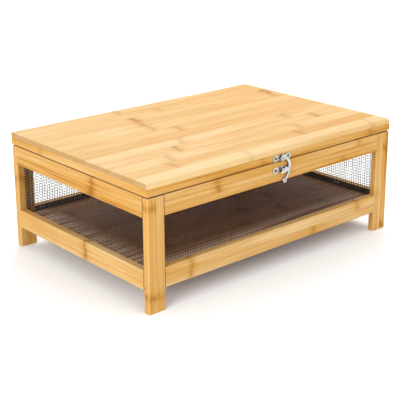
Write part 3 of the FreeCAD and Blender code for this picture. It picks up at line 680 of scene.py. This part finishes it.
def screw_tree():
    """Put a wood screw on each point: a cross-slotted head, a thread and a tip towards -Z."""
    nodes, given = new_tree("wood_screws", (
        ("Geometry", "Geometry"), ("Head", "Float"), ("Dome", "Float"), ("Sink", "Float"),
        ("Shank", "Float"), ("Length", "Float"), ("Material", "Material"),
    ))
    ball = nodes.add("GeometryNodeMeshUVSphere", None, {"Segments": 32, "Rings": 16, "Radius": 1.0})
    wide = nodes.combine(given["Head"], given["Head"], given["Dome"])
    dome = nodes.add("GeometryNodeTransform", None, {"Geometry": ball, "Scale": wide})
    cone = nodes.add("GeometryNodeMeshCone", None, {
        "Vertices": 32, "Radius Top": given["Head"] * 0.995, "Radius Bottom": given["Shank"] * 0.9,
        "Depth": given["Sink"],
    })
    low = nodes.combine(0.0, 0.0, -given["Sink"])
    neck = nodes.add("GeometryNodeTransform", None, {"Geometry": cone, "Translation": low})
    core = given["Shank"] * 0.72
    taper = nodes.add("GeometryNodeMeshCone", None, {
        "Vertices": 16, "Radius Top": core, "Radius Bottom": core * 0.15, "Depth": given["Length"],
    })
    deep = nodes.combine(0.0, 0.0, -given["Length"])
    shank = nodes.add("GeometryNodeTransform", None, {"Geometry": taper, "Translation": deep})
    headed = nodes.add("GeometryNodeMeshBoolean", {"operation": "UNION", "solver": "EXACT"},
                       {"Mesh 2": [dome, neck, shank]})
    # The slots differ a little in depth, so that their floors never share a plane.
    head = given["Head"]
    for wide_share, thin_share, tall_share in ((1.15, 0.26, 0.60), (0.26, 1.15, 0.54)):
        size = nodes.combine(head * wide_share, head * thin_share, head * tall_share)
        block = nodes.add("GeometryNodeMeshCube", None, {"Size": size})
        lift = nodes.combine(0.0, 0.0, given["Dome"] + head * 0.06)
        raised = {"Geometry": block, "Translation": lift}
        cutter = nodes.add("GeometryNodeTransform", None, raised)
        headed = nodes.add("GeometryNodeMeshBoolean", {"operation": "DIFFERENCE", "solver": "EXACT"},
                           {"Mesh 1": headed, "Mesh 2": cutter})
    spiral = nodes.add("GeometryNodeCurveSpiral", None, {
        "Resolution": 14, "Rotations": 7.0, "Start Radius": core * 0.2, "End Radius": core,
        "Height": given["Length"] * 0.8,
    })
    lowered = nodes.add("GeometryNodeTransform", None, {"Geometry": spiral, "Translation": deep})
    ridge = nodes.add("GeometryNodeCurvePrimitiveCircle", None,
                      {"Resolution": 4, "Radius": given["Shank"] * 0.26})
    thread = nodes.add("GeometryNodeCurveToMesh", None,
                       {"Curve": lowered, "Profile Curve": ridge, "Fill Caps": True})
    pattern = nodes.add("GeometryNodeJoinGeometry", None, {0: [headed, thread]})
    end_tree(nodes, on_points(nodes, given, pattern), given["Material"])
    return nodes.tree


def note_hollows(mesh):
    """Give each point of a mesh a number that is above 0 where the surface is hollow."""
    shell = bmesh.new()
    shell.from_mesh(mesh)
    beside = [[edge.other_vert(vert) for edge in vert.link_edges] for vert in shell.verts]
    hollow = []
    for vert, others in zip(shell.verts, beside):
        steps = [other.co - vert.co for other in others]
        reach = sum(step.length for step in steps)
        hollow.append(sum(step.dot(vert.normal) for step in steps) / reach)
    for spread in range(3):
        hollow = [
            (own + sum(hollow[other.index] for other in others)) / (1 + len(others))
            for own, others in zip(hollow, beside)
        ]
    shell.free()
    mesh.attributes.new("hollow", "FLOAT", "POINT").data.foreach_set("value", hollow)


def cast_copy(name, node, grain, passes, material):
    """Copy a CAD node as one closed skin with softened edges, as stamping and plating leave it."""
    piece = add_piece(name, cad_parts[node].data.copy())
    weld = piece.modifiers.new("weld", "WELD")
    weld.merge_threshold = 0.002 * MM
    skin = piece.modifiers.new("skin", "REMESH")
    skin.mode = "VOXEL"
    skin.voxel_size = grain
    skin.adaptivity = 0.0
    soften = piece.modifiers.new("soften", "SMOOTH")
    soften.factor = 0.5
    soften.iterations = passes
    settle(piece, 80)
    note_hollows(piece.data)
    piece.data.materials.clear()
    piece.data.materials.append(material)
    return piece


# --- operators ---------------------------------------------------------------------------------


class CageOperator:
    """What all the operators share."""

    bl_options = {"REGISTER", "UNDO"}

    def execute(self, context):
        self.make(context)
        return {"FINISHED"}


# Strips of the lid board from front to back: tone, node marks along the length, their strength.
LID_STRIPS = (
    (0.05, -0.044, 0.169, 0.25),
    (0.41, -0.136, 0.065, 0.35),
    (0.25, -0.122, 0.085, 0.35),
    (0.31, -0.093, 0.142, 0.55),
    (0.17, -0.068, 0.109, 0.35),
    (0.39, NO_MARK, NO_MARK, 0.0),
    (0.31, -0.034, NO_MARK, 0.40),
    (0.25, -0.059, NO_MARK, 0.45),
    (0.31, -0.058, 0.182, 0.50),
    (0.35, -0.051, 0.186, 0.90),
    (0.33, 0.006, NO_MARK, 0.30),
    (0.31, -0.045, NO_MARK, 0.35),
)

# Each rail, batten and post: grain axis, axis across the strips, and the strips.
CASE_STRIPS = {
    "front_top_rail": (X, Z, (
        (0.62, 0.11, NO_MARK, 0.3), (0.50, -0.099, NO_MARK, 0.7), (0.44, -0.101, 0.14, 0.5),
    )),
    "front_bottom_rail": (X, Z, ((0.36, -0.141, 0.06, 0.45), (0.44, -0.139, 0.141, 0.5))),
    "back_top_rail": (X, Z, ((0.48, 0.04, NO_MARK, 0.5), (0.60, -0.13, 0.09, 0.4))),
    "back_bottom_rail": (X, Z, ((0.56, -0.05, NO_MARK, 0.5), (0.44, 0.12, NO_MARK, 0.4))),
    "left_top_rail": (Y, Z, ((0.74, -0.032, NO_MARK, 0.7), (0.42, -0.034, NO_MARK, 0.6))),
    "left_bottom_rail": (Y, Z, ((0.34, -0.016, NO_MARK, 0.7),)),
    "right_top_rail": (Y, Z, ((0.50, 0.05, NO_MARK, 0.6), (0.62, -0.07, NO_MARK, 0.4))),
    "right_bottom_rail": (Y, Z, ((0.46, 0.02, NO_MARK, 0.6), (0.58, 0.07, NO_MARK, 0.4))),
    "post_front_left": (Z, X, ((0.46, 0.123, 0.018, 0.6), (0.56, 0.018, NO_MARK, 0.4))),
    "post_front_right": (Z, X, ((0.50, 0.052, NO_MARK, 0.3), (0.80, 0.111, 0.004, 0.7))),
    "post_back_left": (Z, X, ((0.50, 0.09, NO_MARK, 0.5), (0.58, 0.03, NO_MARK, 0.4))),
    "post_back_right": (Z, X, ((0.60, 0.07, NO_MARK, 0.5), (0.48, 0.02, NO_MARK, 0.5))),
}

LID_BATTENS = {
    "lid_front_batten": (X, Z, ((0.70, -0.03, 0.16, 0.35),)),
    "lid_back_batten": (X, Z, ((0.58, 0.02, NO_MARK, 0.5),)),
    "lid_left_batten": (Y, Z, ((0.60, 0.07, NO_MARK, 0.35),)),
    "lid_right_batten": (Y, Z, ((0.62, -0.04, NO_MARK, 0.5),)),
}

FLOOR_STRIPS = tuple(
    (0.36 + 0.22 * math.sin(2.4 * row), -0.15 + 0.029 * (row * 5 % 9), 0.05 + 0.02 * (row * 4 % 7), 0.8)
    for row in range(11)
)


class CAGE_OT_case_wood(CageOperator, bpy.types.Operator):
    """Finish the posts and rails of the case"""

    bl_idname = "cage.case_wood"
    bl_label = "Case wood"

    def make(self, context):
        for number, (node, (grain, across, strips)) in enumerate(CASE_STRIPS.items()):
            # The inner face of each bottom rail gets a band of painted shade.
            shaded_face = None
            if node.endswith("bottom_rail"):
                low, high = node_box(node)
                side = 3 - grain - across
                shaded_face = min(low[side], high[side], key=abs)
            wood = bamboo(node, grain, across, strips, seed=1.7 * number, shaded_face=shaded_face)
            paint_node(node, wood)


class CAGE_OT_lid_wood(CageOperator, bpy.types.Operator):
    """Finish the glued strips and the battens of the lid"""

    bl_idname = "cage.lid_wood"
    bl_label = "Lid wood"

    def make(self, context):
        board = bamboo("lid_board", X, Y, LID_STRIPS, lean=0.45, seed=3.1, figure=0.7)
        paint_node("lid_board", board)
        for number, (node, (grain, across, strips)) in enumerate(LID_BATTENS.items()):
            paint_node(node, bamboo(node, grain, across, strips, seed=31 + 2.3 * number))


class CAGE_OT_floor_wood(CageOperator, bpy.types.Operator):
    """Finish the floor board and the strips that carry it"""

    bl_idname = "cage.floor_wood"
    bl_label = "Floor wood"

    def make(self, context):
        tint = context.scene.cage_wood.floor
        low, high = node_box("floor_panel")
        # The front and left edges of the floor get painted light.
        pale = ((Y, low.y), (X, low.x))
        board = bamboo("floor_panel", X, Y, FLOOR_STRIPS, tint=tint, seed=9.4, pale=pale)
        paint_node("floor_panel", board)
        for number, node in enumerate(("front_floor_cleat", "back_floor_cleat")):
            strips = ((0.5, -0.08, 0.13, 0.5),)
            paint_node(node, bamboo(node, X, Z, strips, tint=tint, seed=17 + number))


class CAGE_OT_joinery(CageOperator, bpy.types.Operator):
    """Finish the dowels and the corner nails"""

    bl_idname = "cage.joinery"
    bl_label = "Dowels and nails"

    def make(self, context):
        metal = context.scene.cage_metal
        for node, grain, across in (("long_rail_dowels", X, Z), ("side_rail_dowels", Y, Z)):
            plain = ((0.25, NO_MARK, NO_MARK, 0.0),)
            paint_node(node, bamboo(node, grain, across, plain, seed=41.0))
        paint_node("corner_nails", plated("nail_steel", metal.steel, 0.35, 0.6, 0.8))


class CAGE_OT_mesh(CageOperator, bpy.types.Operator):
    """Weave the four wire mesh panels"""

    bl_idname = "cage.mesh"
    bl_label = "Wire mesh"

    def make(self, context):
        settings = context.scene.cage_mesh
        tree = woven_tree()
        material = wire_finish()
        sides = (
            ("front_mesh", X, 0.0, 0.0),
            ("back_mesh", X, math.pi, 0.0),
            ("left_mesh", Y, -math.pi / 2, 1.0),
            ("right_mesh", Y, math.pi / 2, 1.0),
        )
        thick = node_box("front_mesh")[1].y - node_box("front_mesh")[0].y
        for node, axis, turn, folded in sides:
            low, high = node_box(node)
            size = high - low
            across = Y if axis == X else X
            flange = size[across] - thick
            half = size[axis] / 2 - thick / 2 * folded
            middle = (low + high) / 2
            outer = high if middle[across] > 0 else low
            middle[across] = outer[across] - math.copysign(thick / 2, middle[across])
            values = {
                "Width": 2 * (half + flange * folded), "Height": size.z, "Pitch": settings.pitch,
                "Wire": settings.wire, "Crimp": settings.crimp, "Fold": half + (1 - folded),
                "Material": material,
            }
            panel = grow(f"woven_{node}", tree, values)
            panel.data.transform(Matrix.Translation(middle) @ Matrix.Rotation(turn, 4, "Z"))
            hand_over(panel, "case", "mesh_wire", node)


class CAGE_OT_staples(CageOperator, bpy.types.Operator):
    """Bend the staples that hold the mesh"""

    bl_idname = "cage.staples"
    bl_label = "Staples"

    def make(self, context):
        places = []
        for low, high in solids_of("mesh_staples"):
            size = high - low
            crown = max((X, Y, Z), key=lambda axis: size[axis])
            thin = min((X, Y, Z), key=lambda axis: size[axis])
            leg = 3 - crown - thin
            middle = (low + high) / 2
            wire = size[thin]
            inwards = Vector((0, 0, 0))
            inwards[leg] = -math.copysign(1, middle[leg])
            middle[leg] = (high if inwards[leg] > 0 else low)[leg] - inwards[leg] * wire
            along = Vector((0, 0, 0))
            along[crown] = 1
            places.append((middle, turn_to(inwards, along)))
        values = {"Crown": size[crown], "Wire": wire, "Leg": size[leg] - wire,
                  "Material": plated("staple_steel", context.scene.cage_metal.steel, 0.3, 0.5, 0.5)}
        staples = grow("wire_staples", staple_tree(), values, points_mesh("staple_points", places))
        hand_over(staples, "case", "staple_steel", "mesh_staples")


class CAGE_OT_pads(CageOperator, bpy.types.Operator):
    """Mould the rubber pads under the lid"""

    bl_idname = "cage.pads"
    bl_label = "Rubber pads"

    def make(self, context):
        boxes = solids_of("lid_bumpers")
        low, high = boxes[0]
        upright = turn_to((0, 0, 1), (1, 0, 0))
        places = [(Vector(((start.x + end.x) / 2, (start.y + end.y) / 2, start.z)), upright)
                  for start, end in boxes]
        values = {"Radius": (high.x - low.x) / 2, "Length": high.z - low.z, "Rim": 0.35 * MM,
                  "Material": rubber_finish()}
        pads = grow("rubber_pads", rod_tree(), values, points_mesh("pad_points", places))
        hand_over(pads, "case", "bumper_rubber", "lid_bumpers")


class CAGE_OT_screws(CageOperator, bpy.types.Operator):
    """Turn the wood screws of the hinges and the latch"""

    bl_idname = "cage.screws"
    bl_label = "Wood screws"

    def make(self, context):
        metal = context.scene.cage_metal
        tree = screw_tree()
        dark = plated("screw_steel", metal.screw, 0.22, 0.40, 0.5)
        kinds = (
            ("latch_plate_screws", "lid", "latch_nickel", -1, 0.7 * MM, 0.6 * MM),
            ("catch_plate_screws", "case", "latch_nickel", -1, 0.7 * MM, 0.6 * MM),
            ("hinge_lid_screws", "lid", "hinge_nickel", 1, 0.12 * MM, 0.75 * MM),
            ("hinge_case_screws", "case", "hinge_nickel", 1, 0.12 * MM, 0.75 * MM),
        )
        for node, body, slot, front, dome, sink in kinds:
            boxes = solids_of(node)
            low, high = boxes[0]
            raised = dome if front < 0 else 0.0
            places = []
            for number, (start, end) in enumerate(boxes):
                middle = (start + end) / 2
                middle.y = (start.y if front < 0 else end.y) - front * raised
                if front > 0:
                    middle.y -= dome
                places.append((middle, turn_to((0, front, 0), (1, 0, 0), 0.4 + 0.75 * number)))
            values = {"Head": (high.x - low.x) / 2, "Dome": dome, "Sink": sink, "Shank": 1.0 * MM,
                      "Length": high.y - low.y - raised, "Material": dark}
            screws = grow(f"turned_{node}", tree, values, points_mesh(f"{node}_points", places))
            hand_over(screws, body, slot, node)


class CAGE_OT_hinges(CageOperator, bpy.types.Operator):
    """Form the leaves and pins of the hinges"""

    bl_idname = "cage.hinges"
    bl_label = "Hinges"

    def make(self, context):
        metal = context.scene.cage_metal
        nickel = plated("hinge_nickel", metal.nickel, 0.20, 0.42, 0.45)
        for side in ("left", "right"):
            for body in ("case", "lid"):
                node = f"{side}_hinge_{body}_leaf"
                leaf = cast_copy(f"formed_{node}", node, 0.24 * MM, 2, nickel)
                hand_over(leaf, body, "hinge_nickel", node)
        boxes = solids_of("hinge_pins")
        low, high = boxes[0]
        level = turn_to((1, 0, 0), (0, 1, 0))
        places = [(Vector((start.x, (start.y + end.y) / 2, (start.z + end.z) / 2)), level)
                  for start, end in boxes]
        values = {"Radius": (high.z - low.z) / 2, "Length": high.x - low.x, "Rim": 0.25 * MM,
                  "Material": nickel}
        pins = grow("round_hinge_pins", rod_tree(), values, points_mesh("pin_points", places))
        hand_over(pins, "case", "hinge_nickel", "hinge_pins")


class CAGE_OT_latch(CageOperator, bpy.types.Operator):
    """Form the plates, the rivet and the stud of the latch"""

    bl_idname = "cage.latch"
    bl_label = "Latch plates"

    def make(self, context):
        metal = context.scene.cage_metal
        # edge sets how much painted shade the rims of the latch parts get.
        nickel = plated("latch_nickel", metal.nickel, 0.13, 0.30, 0.7, edge=0.8)
        for node, body in (("latch_plate", "lid"), ("catch_plate", "case"), ("latch_pivot", "lid"),
                           ("catch_stud", "case")):
            piece = cast_copy(f"plated_{node}", node, metal.softness, 3, nickel)
            hand_over(piece, body, "latch_nickel", node)


class CAGE_OT_lever(CageOperator, bpy.types.Operator):
    """Form the hook lever of the latch"""

    bl_idname = "cage.lever"
    bl_label = "Latch lever"

    def make(self, context):
        metal = context.scene.cage_metal
        # edge sets how much painted shade the rims of the lever get.
        nickel = plated("lever_nickel", metal.nickel, 0.12, 0.28, 0.4, edge=0.45)
        lever = cast_copy("hook_lever", "latch_lever", metal.softness, 4, nickel)
        hand_over(lever, "latch_lever", "latch_nickel", "latch_lever")


def soft_light(name, energy, size, place, target):
    """Hang a square soft light and aim it."""
    data = bpy.data.lights.new(name, "AREA")
    data.energy = energy
    data.size = size
    lamp = bpy.data.objects.new(name, data)
    lamp.location = place
    lamp.rotation_euler = (Vector(target) - Vector(place)).to_track_quat("-Z", "Y").to_euler()
    bpy.context.scene.collection.objects.link(lamp)


# The camera's place, its turn from +Y, drop and roll in degrees, sensor in millimetres, and shift.
CAMERA_PLACE = (-0.7971, -0.9064, 0.4805)
CAMERA_DEGREES = (41.04, 16.75, -0.23)
CAMERA_SENSOR = 36
CAMERA_SHIFT = -0.125


class CAGE_OT_stage(CageOperator, bpy.types.Operator):
    """Set up the pale floor, the soft light and the camera"""

    bl_idname = "cage.stage"
    bl_label = "Stage"

    def make(self, context):
        stage = context.scene.cage_stage
        shell = bmesh.new()
        bmesh.ops.create_grid(shell, x_segments=1, y_segments=1, size=30)
        mesh = bpy.data.meshes.new("stage_floor")
        shell.to_mesh(mesh)
        shell.free()
        floor = add_piece("stage_floor", mesh)
        finish = Finish("pale_paper")
        grain = finish.noise(finish.scaled(finish.position, (40, 40, 40)), detail=2.0)
        duller = tuple(part * 0.99 for part in stage.paper)
        shade = finish.mix(grain.fade(0.3, 0.7) * 0.15, stage.paper, duller)
        mesh.materials.append(finish.close(Base_Color=shade, Roughness=0.9, Specular_IOR_Level=0.1))

        world = bpy.data.worlds.new("studio")
        world.use_nodes = True
        sky = world.node_tree.nodes["Background"]
        sky.inputs["Color"].default_value = (1.0, 1.0, 1.0, 1.0)
        sky.inputs["Strength"].default_value = stage.sky
        context.scene.world = world
        middle = (0.0, 0.0, 0.08)
        soft_light("key", stage.key, 1.2, (-1.95, -0.85, 0.85), middle)
        soft_light("fill", stage.fill, 1.4, (0.4, -2.0, 1.0), middle)
        soft_light("back", stage.back, 1.0, (0.9, 0.9, 1.3), (0.55, 0.35, 0.0))
        context.scene.view_settings.view_transform = "Standard"
        self.aim_camera(context, stage.focal)

    def aim_camera(self, context, focal):
        """Put the camera in front of the near left corner, a little above the lid."""
        azimuth, drop, roll = (math.radians(angle) for angle in CAMERA_DEGREES)
        level = Vector((math.sin(azimuth), math.cos(azimuth), 0))
        ahead = level * math.cos(drop) - Vector((0, 0, math.sin(drop)))
        right = Vector((level.y, -level.x, 0))
        right.rotate(Matrix.Rotation(-roll, 3, ahead))
        up = right.cross(ahead)
        data = bpy.data.cameras.new("camera")
        data.sensor_width = CAMERA_SENSOR
        data.lens = focal
        data.shift_y = CAMERA_SHIFT
        data.clip_end = 100
        camera = bpy.data.objects.new("camera", data)
        frame_axes = Matrix((right, up, -ahead)).transposed()
        camera.matrix_world = Matrix.Translation(CAMERA_PLACE) @ frame_axes.to_4x4()
        context.scene.collection.objects.link(camera)
        context.scene.camera = camera


OPERATORS = (
    CAGE_OT_stage,
    CAGE_OT_case_wood,
    CAGE_OT_lid_wood,
    CAGE_OT_floor_wood,
    CAGE_OT_joinery,
    CAGE_OT_mesh,
    CAGE_OT_staples,
    CAGE_OT_pads,
    CAGE_OT_screws,
    CAGE_OT_hinges,
    CAGE_OT_latch,
    CAGE_OT_lever,
)


class CAGE_PT_sidebar(bpy.types.Panel):
    """The cage's settings and steps in the sidebar"""

    bl_label = "Cage"
    bl_idname = "CAGE_PT_sidebar"
    bl_space_type = "VIEW_3D"
    bl_region_type = "UI"
    bl_category = "Cage"

    def draw(self, context):
        for name, group in SETTINGS:
            box = self.layout.box()
            box.label(text=group.__doc__)
            for key in group.__annotations__:
                box.prop(getattr(context.scene, name), key)
        for operator in OPERATORS:
            self.layout.operator(operator.bl_idname)


def register():
    for name, group in SETTINGS:
        bpy.utils.register_class(group)
        setattr(bpy.types.Scene, name, PointerProperty(type=group))
    for operator in OPERATORS:
        bpy.utils.register_class(operator)
    bpy.utils.register_class(CAGE_PT_sidebar)


def unregister():
    bpy.utils.unregister_class(CAGE_PT_sidebar)
    for operator in reversed(OPERATORS):
        bpy.utils.unregister_class(operator)
    for name, group in reversed(SETTINGS):
        delattr(bpy.types.Scene, name)
        bpy.utils.unregister_class(group)


def main():
    """Finish the cage."""
    register()
    for operator in OPERATORS:
        group, step = operator.bl_idname.split(".")
        getattr(getattr(bpy.ops, group), step)()


if __name__ == "__main__":
    main()
